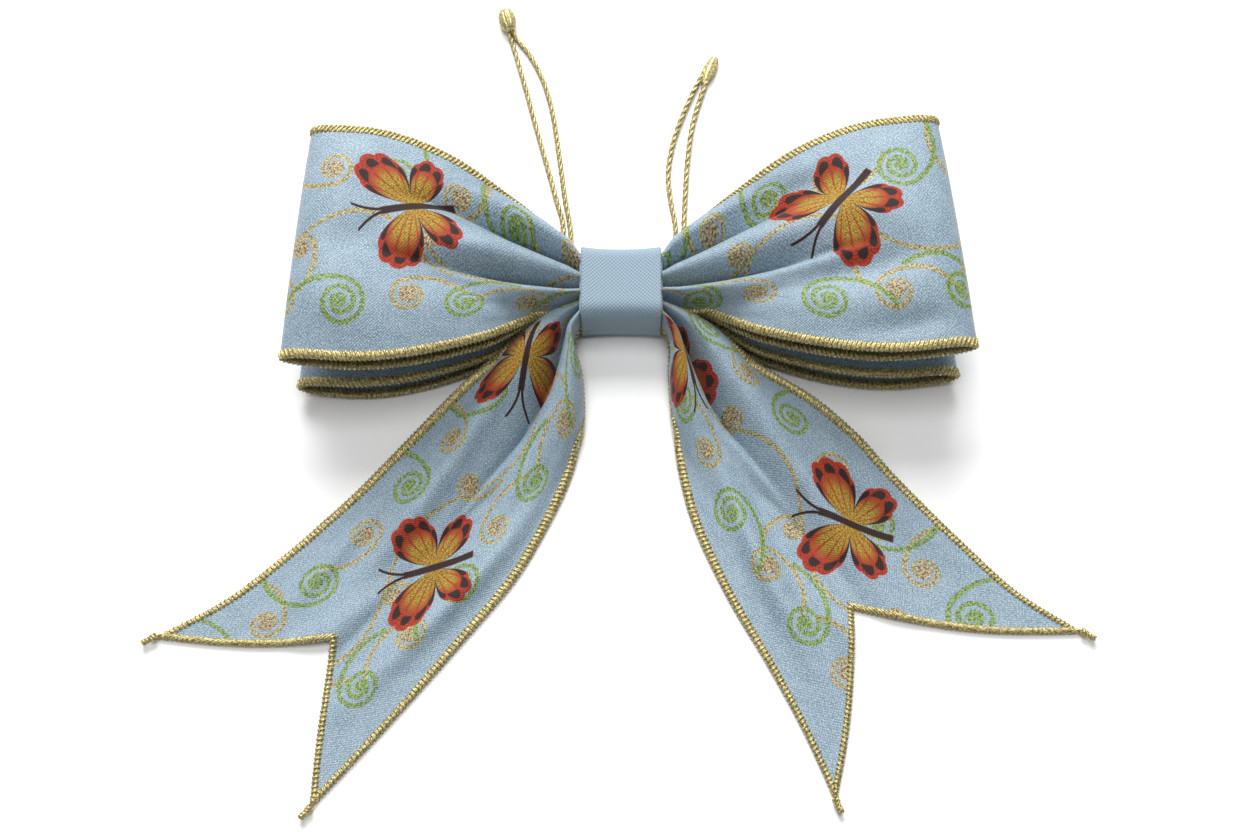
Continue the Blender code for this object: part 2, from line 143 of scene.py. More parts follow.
# How a tail is folded below the band, from its outer to its inner edge:
# (place on the flat ribbon, place across from -1 to 1, height of the soft fold
# and how far down it reaches, further height of the sharp crease at the band)
TAIL_FOLDS = [
    (0.0, -1.0, -3.0, 0.26, 0.0), (7.0, -0.95, 0.4, 0.34, 0.0), (15.0, -0.70, 3.0, 0.42, 0.6),
    (22.0, -0.34, 2.8, 0.46, 0.4), (27.0, -0.08, 0.4, 0.50, -1.2), (30.0, 0.08, -2.6, 0.50, -3.6),
    (32.0, 0.13, -5.0, 0.54, -6.0), (34.0, 0.15, -2.6, 0.50, -3.6), (37.0, 0.22, 1.2, 0.46, 0.2),
    (44.0, 0.50, 4.2, 0.46, 1.6), (51.0, 0.82, 3.8, 0.42, 1.2), (58.0, 1.02, 0.2, 0.36, 0.2),
    (63.5, 0.93, -4.0, 0.26, -0.5)]
# Shares down the tail: its creases and folds are whole up to these, and the
# creases end at the last one
TAIL_CREASE_START = 0.08
TAIL_HOLD_START = 0.12
TAIL_CREASE_REACH = 0.34
NOTCH_ROWS_START = 0.35  # the rows start to follow the notch
TAIL_NARROWING = 0.10  # inside the band
TAIL_CLEARANCE = 6.0  # keeps the valley clear of the rear loops' edges
CLEARANCE_FADE = (0.03, 0.15)
CLEARANCE_ACROSS = 0.55  # it ends here, on the inner half
CLEARANCE_BLEND = 0.3
TAIL_EDGE_STEP = 0.2
TAIL_EDGE_ROWS = 241
# Soft dents of the tails: (share down the tail, place on the flat ribbon,
# angle, length, width, depth)
TAIL_DENTS = {
    "left": [(0.50, 38, 0, 34, 4.0, 2.6), (0.45, 20, 6, 34, 5.0, -3.0), (0.58, 52, -4, 30, 4.0, -2.6),
             (0.66, 12, 8, 22, 4.0, -1.6), (0.76, 30, -8, 18, 5.0, -1.6)],
    "right": [(0.50, 38, -4, 34, 4.0, 2.4), (0.46, 24, 4, 34, 5.0, -3.0), (0.58, 50, 6, 26, 4.0, -3.0),
              (0.56, 9, -10, 22, 4.0, -1.6), (0.74, 40, 0, 18, 5.0, -1.8)],
}

# --- stitches, cord
STITCH_PITCH = 1.2
STITCH_REACH = 3.0  # from the ribbon's edge inwards
STITCH_RISE = 0.52
STITCH_LEAN = 0.45
THREAD_RADIUS = 0.36
THREAD_SIDES = 6
STITCH_POINTS = 10  # along one stitch
CORE_SIDES = 8
CORE_INSET = 0.3
CORE_HALF_HEIGHT = 0.42
TIP_THREAD_LENGTH = 3.8
TIP_THREAD_OVERLAP = 0.4
TIP_THREAD_TWIST = 2.6  # length of one full turn
TIP_THREAD_LIFT = 0.35
TIP_PLY_RADIUS = 0.42

CORD_PLY_RADIUS = 0.44
CORD_PLY_OFFSET = 0.33
CORD_TWIST = 4.6  # length of one full turn
CORD_SIDES = 8
CORD_STEP = 0.35
CORD_REST_HEIGHT = 0.8
# Points with no height of their own lie on the table. Each strand's last point
# is inside its knot or fold tip.
CORD_ROUTES = {
    "left_cord_right_strand": [
        (-11.7, 6.9, 2.1), (-12.8, 8.8, 1.9), (-13.3, 12, 1.3), (-13.4, 17), (-13.8, 23),
        (-15.2, 31), (-16.8, 43), (-18.7, 56), (-21.3, 66), (-25.0, 74), (-29.0, 79.6),
        (-30.9, 83.2, 1.6)],
    "left_cord_left_strand": [
        (-11.7, 5.0, 2.1), (-14.5, 6.9, 1.9), (-15.5, 12, 1.3), (-15.5, 18), (-15.8, 24),
        (-17.4, 30), (-20.0, 40), (-23.2, 52), (-26.8, 66), (-30.7, 80.0), (-31.6, 83.2, 1.5)],
    "right_cord_left_strand": [
        (11.7, 6.9, 2.1), (13.1, 8.5, 1.9), (14.0, 12, 1.3), (14.6, 17), (14.6, 23), (13.4, 30),
        (12.8, 38), (14.1, 47), (17.0, 56), (20.8, 65), (23.2, 69.4, 0.95)],
    "right_cord_right_strand": [
        (11.7, 5.0, 2.1), (14.6, 6.6, 1.9), (16.2, 11, 1.3), (16.9, 17), (17.0, 24), (17.4, 32),
        (18.1, 42), (19.6, 53), (22.8, 64.2), (24.2, 67.6, 0.95)],
}

# the rounded ends: (node, centre, direction, half sizes, number of ridges)
CORD_TIPS = {"left": ("cord_end_knot", (-31.6, 84.6, 2.2), (-0.26, 1, 0), (3.5, 2.25, 2.1), 13),
             "right": ("cord_fold_tip", (24.4, 69.6, 0.95), (0.42, 1, 0), (4.6, 1.75, 0.95), 5)}
BEAD_SIDES = 48
BEAD_RINGS = 20
BEAD_RIPPLE = 0.07

# --- the knot band
BAND_HALF_LENGTH = 10.5
BAND_HALF_HEIGHT = 10.1
BAND_DEPTH = 18.0
BAND_WALL = 0.9
BAND_NIP = 0.5
BAND_CORNER = 3.4
BAND_CORNER_STEPS = 10
BAND_STEP = 0.9
BAND_FLAT_SHARE = 0.957  # of the half length, up to the hem

# --- the print
# One butterfly of the print: (centre, a point on its head's side), in the frame
BUTTERFLIES = {
    "left_loop": [((-53.9, 14.7), (-63.0, 12.5))],
    "right_loop": [((56.1, 15.2), (49.0, 6.0))],
    "left_tail": [((-47.6, -73.0), (-57.0, -75.5)), ((-24.5, -20.0), (-26.0, -28.0))],
    "right_tail": [((59.0, -61.8), (48.0, -58.0)), ((16.5, -18.0), (19.5, -27.0))],
}
REAR_BUTTERFLIES = [((118.0, 4.0), 150.0)]  # place on the flat ribbon, heading
PRINT_PHASE = {"left_loop": 20.0, "right_loop": 41.0, "left_tail": 8.0, "right_tail": 30.0}
BUTTERFLY_SCALE = 1.2
# Its wings as (fore, hind); angles are measured from the way that it heads
WING_START = (22.0, 96.0)
WING_SWEEP = (77.0, 68.0)
WING_LENGTH = (15.0, 12.0)
WING_TAPER = (0.22, 0.10)
WING_CELLS = (5.0, 4.0)  # between its veins
WING_PARTING = 98.0
WING_ROOT = 0.3  # from the body's middle
WING_ARCH = 0.42
WING_FULLNESS = 1.12
WING_SCALLOP = 3.2
WING_SOFTNESS = 0.25
WING_RIM = (0.66, 0.84)  # where gold turns to red, as shares of its length
VEIN_EDGE = 0.40
VEIN_START = 0.12
SPOT_PLACE = 0.84
BODY_BEHIND = 1.2
FEELER_START = 6.0
FEELER_LENGTH = 7.0
FEELER_CURVE = 0.055
# (radius or half width, softness of its edge)
SPOT_RADIUS = (1.05, 0.3)
BODY_HALF_WIDTH = (0.75, 0.25)
BODY_HALF_LENGTH = (8.2, 0.4)
FEELER_HALF_WIDTH = (0.26, 0.15)
HEART_DOT = (1.3, 0.6)
HEART_PATCH = (1.9, 0.9)
TILE_LENGTH = 66.0  # the scrolls repeat along the ribbon
VINE_SWING = 7.0  # the stem they grow from, either side of the middle
VINE_WIDTH = 1.1
CURL_LINE = 1.15
CURL_PITCH = 2.4
CURL_END = -0.25  # the curl's outer end, in turns past its radius
LINE_SOFTNESS = 0.2
PRINT_WOBBLE = 0.9
# (along, across, outer radius, start angle, handedness, stem radius, stem turn)
GREEN_SCROLLS = [(10.0, 19.0, 5.8, 205, 1, 15.0, 0.24), (44.0, 17.0, 6.0, 300, -1, 14.0, 0.24),
                 (21.0, -18.0, 6.2, 100, 1, 17.0, 0.20), (55.0, -17.0, 5.6, 40, -1, 15.0, 0.22)]
GOLD_SCROLLS = [(27.0, 18.0, 4.8, 250, -1, 12.0, 0.26), (60.0, 18.0, 4.6, 230, 1, 13.0, 0.24),
                (4.0, -15.0, 4.8, 60, -1, 14.0, 0.22), (38.0, -17.0, 5.0, 120, 1, 13.0, 0.24),
                (33.0, -4.0, 3.6, 160, -1, 12.0, 0.18), (66.0, 3.0, 3.6, 340, 1, 12.0, 0.18)]

# --- colours and weaves
RIBBON_WEAVE = 0.42
BAND_WEAVE = 0.50
# fine noise of the ribbon: its pale speckles in the colour are painted glints, and it also roughens
# and bumps the cloth
SPECKLE_AND_GLINT_SCALE = 2.3
RIBBON_BLUE = (0.128, 0.210, 0.280, 1)
RIBBON_PALE = (0.455, 0.540, 0.595, 1)
RIBBON_SHADE = (0.10, 0.15, 0.21, 1)
RIBBON_BACK_GREY = (0.26, 0.32, 0.37, 1)
BAND_BLUE = (0.235, 0.325, 0.400, 1)
BAND_PALE = (0.380, 0.475, 0.550, 1)
BAND_SHADE = (0.07, 0.125, 0.17, 1)
BAND_MOTTLE = (0.18, 0.27, 0.35, 1)
VEIN_RED = (0.26, 0.03, 0.006, 1)
SPOT_BLACK = (0.016, 0.004, 0.003, 1)
BODY_BLACK = (0.018, 0.004, 0.003, 1)
FLOOR_GREY = (0.9, 0.9, 0.9, 1)
# (dark, bright) where a grain shows both
INKS = {"green": ((0.040, 0.085, 0.008, 1), (0.27, 0.38, 0.09, 1)),
        "gold": ((0.11, 0.075, 0.016, 1), (0.50, 0.44, 0.20, 1)),
        "heart": ((0.07, 0.03, 0.008, 1), (0.50, 0.41, 0.23, 1)),
        "wing_red": ((0.15, 0.006, 0.002, 1), (0.44, 0.035, 0.004, 1)),
        "wing_gold": ((0.15, 0.075, 0.004, 1), (0.44, 0.30, 0.030, 1))}
YARNS = {"edging": ((0.17, 0.125, 0.030, 1), (0.84, 0.73, 0.36, 1)),
         "cord": ((0.26, 0.20, 0.06, 1), (0.82, 0.72, 0.40, 1)),
         "thread": ((0.62, 0.60, 0.54, 1), (0.84, 0.82, 0.76, 1)),
         "glue": ((0.62, 0.58, 0.46, 1), (0.78, 0.75, 0.66, 1))}

# --- floor, light and camera
FLOOR_HALF_WIDTH = 900
FLOOR_HEIGHT = -0.2
SKY_STRENGTH = 0.16
# (name, place in metres, size, power); each one faces the bow
LAMPS = [("key", (-0.20, 1.60, 1.40), 1.2, 66.0), ("top", (0.0, 0.10, 1.6), 0.8, 13.5),
         ("fill", (-0.6, -0.5, 0.9), 0.8, 0.8)]
CAMERA_ELEVATION = 70.0
CAMERA_TARGET = (0.8, -37.0, 15.0)
CAMERA_DISTANCE = 620.0
CAMERA_LENS = 70.0


# --- geometry
def unit(vectors):
    return vectors / np.maximum(np.linalg.norm(vectors, axis=-1, keepdims=True), 1e-9)


def lifted(points, height):
    """The points, with that height where they have none of their own."""
    return [point if len(point) == 3 else (*point, height) for point in points]


def smooth_path(points, spacing):
    """Evenly spaced points on a Catmull-Rom curve through the given points."""
    points = np.array(points, float)
    ends = np.vstack([2 * points[0] - points[1], points, 2 * points[-1] - points[-2]])
    steps = np.linspace(0, 1, 25)[:-1, None]
    fine = []
    for a, b, c, d in zip(ends, ends[1:], ends[2:], ends[3:]):
        fine.append(0.5 * (2 * b + (c - a) * steps + (2 * a - 5 * b + 4 * c - d) * steps ** 2
                           + (3 * b - a - 3 * c + d) * steps ** 3))
    fine = np.vstack(fine + [points[-1:]])
    return respace(fine, spacing)


def lengths_along(points):
    return np.concatenate([[0], np.cumsum(np.linalg.norm(np.diff(points, axis=0), axis=1))])


def resample(values, places, goals):
    """The values, given at places along a line, read off at the goals."""
    return np.stack([np.interp(goals, places, column) for column in values.T], -1)


def respace(points, spacing):
    lengths = lengths_along(points)
    count = max(int(round(lengths[-1] / spacing)), 2) + 1
    goals = np.linspace(0, lengths[-1], count)
    return resample(points, lengths, goals)


def spline_basis(knots, places):
    """Weights of the knots' values, for a smooth curve through them."""
    knots = np.array(knots, float)
    values = np.eye(len(knots))
    slopes = np.gradient(values, knots, axis=0)
    spot = np.clip(np.searchsorted(knots, places, side="right") - 1, 0, len(knots) - 2)
    span = (knots[spot + 1] - knots[spot])[:, None]
    t = ((places - knots[spot]) / (knots[spot + 1] - knots[spot]))[:, None]
    return (values[spot] * (1 + 2 * t) * (1 - t) ** 2 + slopes[spot] * span * t * (1 - t) ** 2
            + values[spot + 1] * t ** 2 * (3 - 2 * t) + slopes[spot + 1] * span * t ** 2 * (t - 1))


def fade(distance, start, reach):
    """1 up to start, then smoothly down to 0 at reach."""
    share = np.clip((distance - start) / (reach - start), 0, 1)
    return 1 - share * share * (3 - 2 * share)


def make_object(name, points, faces, materials, face_materials=None):
    mesh = bpy.data.meshes.new(name)
    mesh.from_pydata((np.asarray(points) * MM).tolist(), [], [list(map(int, f)) for f in faces])
    for material in materials:
        mesh.materials.append(material)
    if face_materials is not None:
        mesh.polygons.foreach_set("material_index", face_materials)
    mesh.shade_smooth()
    mesh.update()
    thing = bpy.data.objects.new(name, mesh)
    bpy.context.scene.collection.objects.link(thing)
    return thing


def add_uv(thing, values):
    """A UV map in millimetres, from one pair of values a vertex."""
    layer = thing.data.uv_layers.new(name="ribbon")
    corners = np.zeros(len(thing.data.loops), int)
    thing.data.loops.foreach_get("vertex_index", corners)
    layer.data.foreach_set("uv", np.asarray(values, float)[corners].ravel())


def cloth(name, grid, uv, facing, materials):
    """A thin closed sheet from a grid of points, its printed face on the facing side."""
    rows, columns = grid.shape[:2]
    normal = unit(np.cross(np.gradient(grid, axis=0), np.gradient(grid, axis=1))) * facing
    rise = normal * CLOTH_THICKNESS / 2
    points = np.concatenate([(grid + rise).reshape(-1, 3), (grid - rise).reshape(-1, 3)])
    index = np.arange(rows * columns).reshape(rows, columns)
    front = np.stack([index[:-1, :-1], index[1:, :-1], index[1:, 1:], index[:-1, 1:]], -1)
    front = front.reshape(-1, 4)
    rim = np.concatenate([index[:-1, 0], index[-1, :-1], index[:0:-1, -1], index[0, :0:-1]])
    edge = np.stack([rim, rim + index.size, np.roll(rim, -1) + index.size, np.roll(rim, -1)], -1)
    back = front[:, ::-1] + index.size
    faces = np.concatenate([front, back, edge])
    if facing < 0:
        faces = faces[:, ::-1]
    kinds = np.concatenate([np.zeros(len(front), int), np.ones(len(back) + len(edge), int)])
    thing = make_object(name, points, faces, materials, kinds)
    add_uv(thing, np.concatenate([uv.reshape(-1, 2)] * 2))
    return thing


def ring_faces(rings, sides):
    """Faces of a closed skin over rings of points, with a cap at each end."""
    index = np.arange(rings * sides).reshape(rings, sides)
    after = np.roll(index, -1, axis=1)
    faces = np.stack([index[:-1], after[:-1], after[1:], index[1:]], -1)
    return faces.reshape(-1, 4).tolist() + [index[0][::-1].tolist(), index[-1].tolist()]


def tube(points, radius, sides, outward):
    """Points and faces of a round tube; outward is a rough normal at each point."""
    points = np.asarray(points)
    tangent = unit(np.gradient(points, axis=0))
    first = unit(outward - tangent * np.sum(outward * tangent, axis=1, keepdims=True))
    second = np.cross(tangent, first)
    angles = np.linspace(0, math.tau, sides, endpoint=False)
    radius = np.broadcast_to(np.asarray(radius, float), (len(points),))[:, None, None]
    ring = (np.cos(angles)[None, :, None] * first[:, None] + np.sin(angles)[None, :, None]
            * second[:, None])
    skin = (points[:, None] + ring * radius).reshape(-1, 3)
    return skin, ring_faces(len(points), sides)


def join(parts):
    """Several sets of points and faces as one."""
    points, faces, base = [], [], 0
    for some_points, some_faces in parts:
        points.append(some_points)
        faces += [[k + base for k in face] for face in some_faces]
        base += len(some_points)
    return np.concatenate(points), faces


# --- materials
class Recipe:
    """Adds shader nodes to a node tree with short calls."""

    def __init__(self, tree):
        self.tree = tree

    def node(self, kind, settings=None, inputs=None):
        made = self.tree.nodes.new(kind)
        for key, value in (settings or {}).items():
            setattr(made, key, value)
        self.fill(made, inputs or {})
        return made

    def fill(self, node, inputs):
        for key, value in inputs.items():
            self.feed(node.inputs[key], value)

    def feed(self, socket, value):
        if isinstance(value, bpy.types.NodeSocket):
            self.tree.links.new(value, socket)
        else:
            socket.default_value = value

    def math(self, operation, *values):
        made = self.node("ShaderNodeMath", {"operation": operation})
        for socket, value in zip(made.inputs, values):
            self.feed(socket, value)
        return made.outputs[0]

    plus = partialmethod(math, "ADD")
    minus = partialmethod(math, "SUBTRACT")
    times = partialmethod(math, "MULTIPLY")
    over = partialmethod(math, "DIVIDE")
    most = partialmethod(math, "MAXIMUM")
    size = partialmethod(math, "ABSOLUTE")
    above = partialmethod(math, "GREATER_THAN")
    below = partialmethod(math, "LESS_THAN")

    def distance(self, x, y):
        return self.math("SQRT", self.plus(self.times(x, x), self.times(y, y)))

    def step(self, value, low, high):
        """0 at low and below, 1 at high and above."""
        made = self.node("ShaderNodeMapRange", {"interpolation_type": "SMOOTHSTEP"},
                         {"Value": value, "From Min": low, "From Max": high})
        return made.outputs["Result"]

    def within(self, value, limit, soft):
        """1 where value is below limit, fading over soft."""
        made = self.node("ShaderNodeMapRange", {},
                         {"Value": value, "From Min": limit + soft, "From Max": limit})
        return made.outputs["Result"]

    def mix(self, factor, first, second):
        made = self.node("ShaderNodeMix", {"data_type": "RGBA"})
        self.feed(made.inputs["Factor"], factor)
        self.feed(made.inputs[6], first)
        self.feed(made.inputs[7], second)
        return made.outputs[2]

    def noise(self, vector, scale, detail=3.0, roughness=0.55):
        made = self.node("ShaderNodeTexNoise", {}, {"Vector": vector, "Scale": scale,
                                                    "Detail": detail, "Roughness": roughness})
        return made.outputs["Fac"]

    def split(self, vector):
        parts = self.node("ShaderNodeSeparateXYZ", {}, {"Vector": vector})
        return parts.outputs[0], parts.outputs[1]

    def combine(self, x, y):
        return self.node("ShaderNodeCombineXYZ", {}, {"X": x, "Y": y}).outputs[0]

    def ribbon_uv(self):
        return self.node("ShaderNodeUVMap", {"uv_map": "ribbon"}).outputs[0]

    def object_point(self):
        """The object's own coordinates, in millimetres."""
        spot = self.node("ShaderNodeTexCoord").outputs["Object"]
        scaled = self.node("ShaderNodeVectorMath", {"operation": "SCALE"}, {0: spot, "Scale": 1 / MM})
        return scaled.outputs[0]

    def bump(self, height, strength, distance):
        return self.node("ShaderNodeBump", {}, {"Height": height, "Strength": strength,
                                                "Distance": distance * MM}).outputs[0]


def new_material(name):
    material = bpy.data.materials.new(name)
    material.use_nodes = True
    recipe = Recipe(material.node_tree)
    return material, recipe, material.node_tree.nodes["Principled BSDF"]


def node_group(name, inputs, outputs):
    group = bpy.data.node_groups.new(name, "ShaderNodeTree")
    for way, sockets in (("INPUT", inputs), ("OUTPUT", outputs)):
        for label, kind in sockets.items():
            group.interface.new_socket(label, in_out=way, socket_type="NodeSocket" + kind)
    recipe = Recipe(group)
    source = recipe.node("NodeGroupInput")
    result = recipe.node("NodeGroupOutput")
    return group, recipe, source.outputs, result


def scroll_group(line, pitch):
    """Mask of one spiral curl and its stem; start angle at +X of its own frame."""
    group, r, given, result = node_group(
        "scroll", {"Vector": "Vector", "Radius": "Float", "Stem": "Float", "Sweep": "Float"},
        {"Mask": "Float", "Heart": "Float"})
    x, y = r.split(given["Vector"])
    radius = r.distance(x, y)
    turn = r.math("FRACT", r.over(r.math("ARCTAN2", y, x), math.tau))
    coil = r.minus(r.over(r.minus(given["Radius"], radius), pitch), turn)
    away = r.times(r.size(r.minus(coil, r.math("ROUND", coil))), pitch)
    arm = r.times(r.within(away, line / 2, LINE_SOFTNESS), r.above(coil, CURL_END))
    heart = r.within(radius, *HEART_DOT)
    hub = r.minus(x, r.minus(given["Radius"], given["Stem"]))
    off = r.size(r.minus(r.distance(hub, y), given["Stem"]))
    swept = r.math("FRACT", r.over(r.math("ARCTAN2", r.times(y, -1.0), hub), math.tau))
    stem = r.times(r.within(off, line / 2, LINE_SOFTNESS),
                   r.below(swept, given["Sweep"]))
    r.fill(result, {"Mask": r.most(r.most(arm, stem), heart),
                    "Heart": r.within(radius, *HEART_PATCH)})
    return group


def butterfly_group():
    """Colour and mask of one butterfly, its head towards +X, its body along X."""
    group, r, given, result = node_group("butterfly", {"Vector": "Vector"},
                                         {"Color": "Color", "Mask": "Float"})
    x, y = r.split(given["Vector"])
    side = r.size(y)
    rise = r.minus(side, WING_ROOT)
    reach = r.distance(x, rise)
    angle = r.math("DEGREES", r.math("ARCTAN2", rise, x))
    hind = r.above(angle, WING_PARTING)

    def either(values):
        return r.plus(values[0], r.times(hind, values[1] - values[0]))

    share = r.over(r.minus(angle, either(WING_START)), either(WING_SWEEP))
    inside = r.times(r.above(share, 0.0), r.below(share, 1.0))
    held = r.math("MINIMUM", r.most(share, 0.0), 1.0)
    arch = r.math("POWER", r.math("SINE", r.times(held, math.pi)), WING_ARCH)
    lean = r.minus(WING_FULLNESS, r.times(held, either(WING_TAPER)))
    cells = either(WING_CELLS)
    from_vein = r.size(r.minus(r.math("FRACT", r.times(held, cells)), 0.5))
    scallop = r.times(r.times(from_vein, from_vein), WING_SCALLOP)
    outline = r.minus(r.times(r.times(arch, lean), either(WING_LENGTH)), scallop)
    wing = r.times(r.within(r.minus(reach, outline), 0.0, WING_SOFTNESS), inside)
    depth = r.over(reach, r.most(outline, 0.5))
    vein = r.times(r.above(from_vein, VEIN_EDGE),
                   r.above(depth, VEIN_START))
    spot_out = r.minus(reach, r.times(outline, SPOT_PLACE))
    turn = r.over(r.math("RADIANS", either(WING_SWEEP)), cells)
    spot_across = r.times(r.times(from_vein, turn), reach)
    spot = r.within(r.distance(spot_out, spot_across), *SPOT_RADIUS)

    grain = r.step(r.noise(given["Vector"], 2.2, 3.0, 0.75), 0.38, 0.62)
    red, gold = r.mix(grain, *INKS["wing_red"]), r.mix(grain, *INKS["wing_gold"])
    rim = r.step(r.plus(depth, r.times(grain, 0.2)), *WING_RIM)
    colour = r.mix(rim, gold, red)
    colour = r.mix(r.times(vein, 0.85), colour, r.mix(depth, VEIN_RED, red))
    colour = r.mix(spot, colour, SPOT_BLACK)
    body = r.times(r.within(side, *BODY_HALF_WIDTH),
                   r.within(r.size(r.plus(x, BODY_BEHIND)), *BODY_HALF_LENGTH))
    ahead = r.minus(x, FEELER_START)
    feeler_line = r.plus(WING_ROOT, r.times(r.times(ahead, ahead), FEELER_CURVE))
    feeler = r.within(r.size(r.minus(side, feeler_line)), *FEELER_HALF_WIDTH)
    feeler = r.times(feeler, r.times(r.above(ahead, 0.0),
                                     r.below(ahead, FEELER_LENGTH)))
    dark = r.most(body, feeler)
    r.fill(result, {"Color": r.mix(dark, colour, BODY_BLACK), "Mask": r.most(wing, dark)})
    return group


SCROLL = scroll_group(CURL_LINE, CURL_PITCH)
BUTTERFLY = butterfly_group()


def turned(r, vector, centre, angle, size=1.0, hand=1.0):
    """The vector measured from centre, turned back by angle, mirrored if hand is -1."""
    moved = r.node("ShaderNodeMapping", {"vector_type": "TEXTURE"}, {"Vector": vector})
    moved.inputs["Location"].default_value = (*centre, 0.0)
    moved.inputs["Rotation"].default_value = (0.0, 0.0, math.radians(angle))
    moved.inputs["Scale"].default_value = (size, size * hand, 1.0)
    return moved.outputs[0]


def scrolls(r, along, across, rows):
    """Masks of a set of scrolls and of their hearts, repeated along the ribbon."""
    mask, heart = None, None
    for place, height, radius, angle, hand, stem, sweep in rows:
        near = r.math("WRAP", r.minus(along, place), TILE_LENGTH / 2, -TILE_LENGTH / 2)
        made = r.node("ShaderNodeGroup", {"node_tree": SCROLL},
                      {"Radius": radius, "Stem": stem, "Sweep": sweep})
        r.feed(made.inputs["Vector"],
               turned(r, r.combine(near, across), (0.0, height), angle, 1.0, hand))
        first, second = made.outputs["Mask"], made.outputs["Heart"]
        mask = first if mask is None else r.most(mask, first)
        heart = second if heart is None else r.most(heart, second)
    return mask, heart


def vine(r, along, across, width):
    """Mask of the wavy stem down the middle of the print."""
    wave = r.math("SINE", r.times(along, math.tau / TILE_LENGTH))
    gap = r.size(r.minus(across, r.times(wave, VINE_SWING)))
    return r.within(gap, width / 2, LINE_SOFTNESS)


def weave_height(r, uv, period):
    """Over and under of a plain weave, from 0 to 1."""
    x, y = r.split(uv)
    rate = math.pi / period
    first, second = (r.math("SINE", r.times(value, rate)) for value in (x, y))
    return r.plus(0.5, r.times(r.times(first, second), 0.5))


def ribbon_cloth(r, uv):
    """Base colour, with painted glints of the glittery yarn, and weave of the satin-faced ribbon."""
    weave = weave_height(r, uv, RIBBON_WEAVE)
    mottle = r.noise(uv, 0.25, 4.0)
    speckle_and_glint = r.noise(uv, SPECKLE_AND_GLINT_SCALE, 3.0, 0.75)
    base = r.mix(r.step(mottle, 0.3, 0.75), RIBBON_BLUE, r.mix(0.22, RIBBON_BLUE, RIBBON_PALE))
    # pale speckles mixed in here are painted glints of the glittery yarn
    base = r.mix(r.times(r.step(speckle_and_glint, 0.44, 0.62), 0.85), base, RIBBON_PALE)
    base = r.mix(r.times(weave, 0.18), base, RIBBON_SHADE)
    return base, weave, speckle_and_glint


def finish_ribbon(r, shader, colour, weave, speckle_and_glint, ink):
    """Roughness, sheen and relief, the same for the ribbon's face and its back."""
    rough = r.plus(r.plus(0.32, r.times(speckle_and_glint, 0.20)), r.times(ink, 0.30))
    relief = r.plus(r.times(weave, 0.5), r.times(speckle_and_glint, 0.8))
    r.fill(shader, {"Base Color": colour, "Roughness": rough, "Sheen Weight": 0.12,
                    "Sheen Roughness": 0.4, "Specular IOR Level": 0.42,
                    "Normal": r.bump(relief, 0.75, 0.22)})


def printed_material(name, butterflies, phase):
    """Blue ribbon cloth printed with scrolls and with butterflies at given places."""
    material, r, shader = new_material(name)
    uv = r.ribbon_uv()
    base, weave, speckle_and_glint = ribbon_cloth(r, uv)
    wobble = r.times(r.minus(r.noise(uv, 0.9, 1.0), 0.5), PRINT_WOBBLE)
    along, across = r.split(uv)
    along = r.plus(r.plus(along, phase), wobble)
    across = r.plus(across, wobble)
    fuzz = r.step(r.noise(uv, 1.6, 3.0, 0.8), 0.42, 0.58)
    green = scrolls(r, along, across, GREEN_SCROLLS)[0]
    gold, gold_heart = scrolls(r, along, across, GOLD_SCROLLS)
    gold = r.most(gold, vine(r, along, across, VINE_WIDTH))
    colour = base
    for mask, strength, look in ((gold, 0.92, "gold"), (gold_heart, 0.85, "heart"),
                                 (green, 0.92, "green")):
        colour = r.mix(r.times(mask, strength), colour, r.mix(fuzz, *INKS[look]))
    ink = 0.0
    for centre, angle in butterflies:
        made = r.node("ShaderNodeGroup", {"node_tree": BUTTERFLY})
        r.feed(made.inputs["Vector"], turned(r, uv, centre, angle, BUTTERFLY_SCALE))
        colour = r.mix(made.outputs["Mask"], colour, made.outputs["Color"])
        ink = r.plus(ink, made.outputs["Mask"])
    finish_ribbon(r, shader, colour, weave, speckle_and_glint, ink)
    return material


def back_material():
    """The ribbon's unprinted back."""
    material, r, shader = new_material("ribbon_back")
    base, weave, speckle_and_glint = ribbon_cloth(r, r.ribbon_uv())
    finish_ribbon(r, shader, r.mix(0.35, base, RIBBON_BACK_GREY), weave, speckle_and_glint, 0.0)
    return material


def band_material():
    """Plain-woven cloth of the knot band."""
    material, r, shader = new_material("band_cloth")
    uv = r.ribbon_uv()
    weave = weave_height(r, uv, BAND_WEAVE)
    mottle = r.noise(uv, 0.7, 3.0)
    slub = r.noise(uv, 4.0, 3.0)
    colour = r.mix(r.step(weave, 0.15, 0.65), BAND_SHADE, BAND_BLUE)
    colour = r.mix(r.times(slub, 0.5), colour, BAND_PALE)
    colour = r.mix(r.times(mottle, 0.2), colour, BAND_MOTTLE)
    relief = r.plus(weave, r.times(slub, 0.5))
    r.fill(shader, {"Base Color": colour, "Roughness": 0.72, "Sheen Weight": 0.3,
                    "Normal": r.bump(relief, 0.7, 0.16)})
    return material


def metallic_thread(name, dark, bright, rough, scale):
    """Metallised yarn: fine strands that catch the light unevenly."""
    material, r, shader = new_material(name)
    point = r.object_point()
    grain = r.noise(point, scale, 3.0, 0.7)
    broad = r.noise(point, 0.35, 2.0)
    colour = r.mix(r.step(grain, 0.35, 0.68), dark, bright)
    colour = r.mix(r.times(broad, 0.25), colour, dark)
    r.fill(shader, {"Base Color": colour, "Metallic": 0.55,
                    "Roughness": r.plus(rough, r.times(grain, 0.25)),
                    "Normal": r.bump(grain, 0.5, 0.10)})
    return material


def plain_material(name, dark, bright, rough, scale):
    """Thread or glue, with a little unevenness."""
    material, r, shader = new_material(name)
    grain = r.noise(r.object_point(), scale, 3.0)
    r.fill(shader, {"Base Color": r.mix(grain, dark, bright), "Roughness": rough,
                    "Normal": r.bump(grain, 0.4, 0.1)})
    return material


